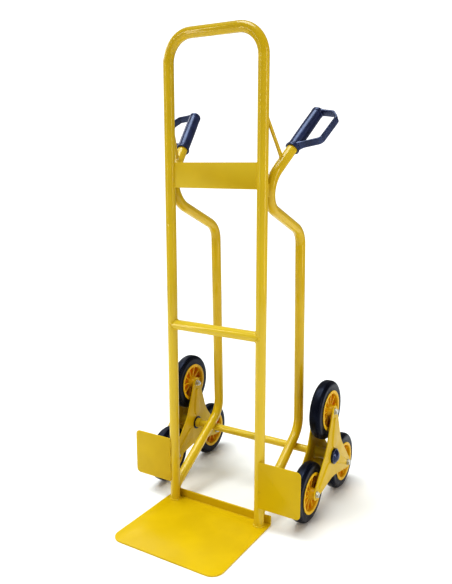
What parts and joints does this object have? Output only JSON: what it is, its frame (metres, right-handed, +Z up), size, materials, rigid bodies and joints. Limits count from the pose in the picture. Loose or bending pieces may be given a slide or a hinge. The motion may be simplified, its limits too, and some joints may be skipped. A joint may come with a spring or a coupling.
{
  "type": "stair climbing trolley",
  "caption": "Upright tube-frame trolley with a flat toe plate, swept-back handles with knuckle guards, and a free-turning star of wheels on each side for climbing stairs.",
  "frame": {"origin": "on the floor at the middle of the footprint, with the toe plate and the four lower wheels resting at z = 0", "axes": "+X to the right of the trolley, +Y to the back, away from the toe plate, +Z up along the uprights"},
  "size_m": [0.504, 0.602, 1.17],
  "materials": {
    "frame_yellow": "semi-gloss powder coat",
    "wheel_rim": "moulded, satin",
    "tyre_rubber": "smooth rubber with fine rings",
    "grip_plastic": "moulded, semi-gloss",
    "cap_plastic": "moulded, glossy",
    "bush_plastic": "moulded, matt",
    "zinc_steel": "bright zinc plate"
  },
  "bodies": {
    "frame": {"hoop_tube": "frame_yellow", "cross_plate": "frame_yellow", "mid_tube": "frame_yellow", "toe_plate": "frame_yellow", "wheel_guard_left": "frame_yellow", "rear_tube_left": "frame_yellow", "brace_left": "frame_yellow", "grip_left": "grip_plastic", "wheel_guard_right": "frame_yellow", "rear_tube_right": "frame_yellow", "brace_right": "frame_yellow", "grip_right": "grip_plastic", "axle": "frame_yellow", "axle_collar_left": "frame_yellow", "axle_washer_left": "zinc_steel", "axle_clip_left": "zinc_steel", "axle_collar_right": "frame_yellow", "axle_washer_right": "zinc_steel", "axle_clip_right": "zinc_steel"},
    "star_left": {"star_plate_inner_left": "frame_yellow", "star_plate_outer_left": "frame_yellow", "hub_tube_left": "frame_yellow", "hub_bush_inner_left": "bush_plastic", "hub_bush_outer_left": "bush_plastic", "hub_cap_left": "cap_plastic", "wheel_bolts_left": "zinc_steel", "wheel_nuts_left": "zinc_steel", "wheel_washers_left": "zinc_steel", "wheel_sleeves_left": "zinc_steel"},
    "wheel_left_top": {"tyre_left_top": "tyre_rubber", "rim_left_top": "wheel_rim"},
    "wheel_left_front": {"tyre_left_front": "tyre_rubber", "rim_left_front": "wheel_rim"},
    "wheel_left_rear": {"tyre_left_rear": "tyre_rubber", "rim_left_rear": "wheel_rim"},
    "star_right": {"star_plate_inner_right": "frame_yellow", "star_plate_outer_right": "frame_yellow", "hub_tube_right": "frame_yellow", "hub_bush_inner_right": "bush_plastic", "hub_bush_outer_right": "bush_plastic", "hub_cap_right": "cap_plastic", "wheel_bolts_right": "zinc_steel", "wheel_nuts_right": "zinc_steel", "wheel_washers_right": "zinc_steel", "wheel_sleeves_right": "zinc_steel"},
    "wheel_right_top": {"tyre_right_top": "tyre_rubber", "rim_right_top": "wheel_rim"},
    "wheel_right_front": {"tyre_right_front": "tyre_rubber", "rim_right_front": "wheel_rim"},
    "wheel_right_rear": {"tyre_right_rear": "tyre_rubber", "rim_right_rear": "wheel_rim"}
  },
  "joints": [
    {"name": "star_left_spin", "type": "hinge", "parent": "frame", "child": "star_left", "pos_m": [-0.2105, 0.12204, 0.135], "axis": [1, 0, 0], "continuous": true},
    {"name": "wheel_left_top_spin", "type": "hinge", "parent": "star_left", "child": "wheel_left_top", "pos_m": [-0.2105, 0.12204, 0.255], "axis": [1, 0, 0], "continuous": true},
    {"name": "wheel_left_front_spin", "type": "hinge", "parent": "star_left", "child": "wheel_left_front", "pos_m": [-0.2105, 0.01811, 0.075], "axis": [1, 0, 0], "continuous": true},
    {"name": "wheel_left_rear_spin", "type": "hinge", "parent": "star_left", "child": "wheel_left_rear", "pos_m": [-0.2105, 0.22596, 0.075], "axis": [1, 0, 0], "continuous": true},
    {"name": "star_right_spin", "type": "hinge", "parent": "frame", "child": "star_right", "pos_m": [0.2105, 0.12204, 0.135], "axis": [1, 0, 0], "continuous": true},
    {"name": "wheel_right_top_spin", "type": "hinge", "parent": "star_right", "child": "wheel_right_top", "pos_m": [0.2105, 0.12204, 0.255], "axis": [1, 0, 0], "continuous": true},
    {"name": "wheel_right_front_spin", "type": "hinge", "parent": "star_right", "child": "wheel_right_front", "pos_m": [0.2105, 0.01811, 0.075], "axis": [1, 0, 0], "continuous": true},
    {"name": "wheel_right_rear_spin", "type": "hinge", "parent": "star_right", "child": "wheel_right_rear", "pos_m": [0.2105, 0.22596, 0.075], "axis": [1, 0, 0], "continuous": true}
  ]
}
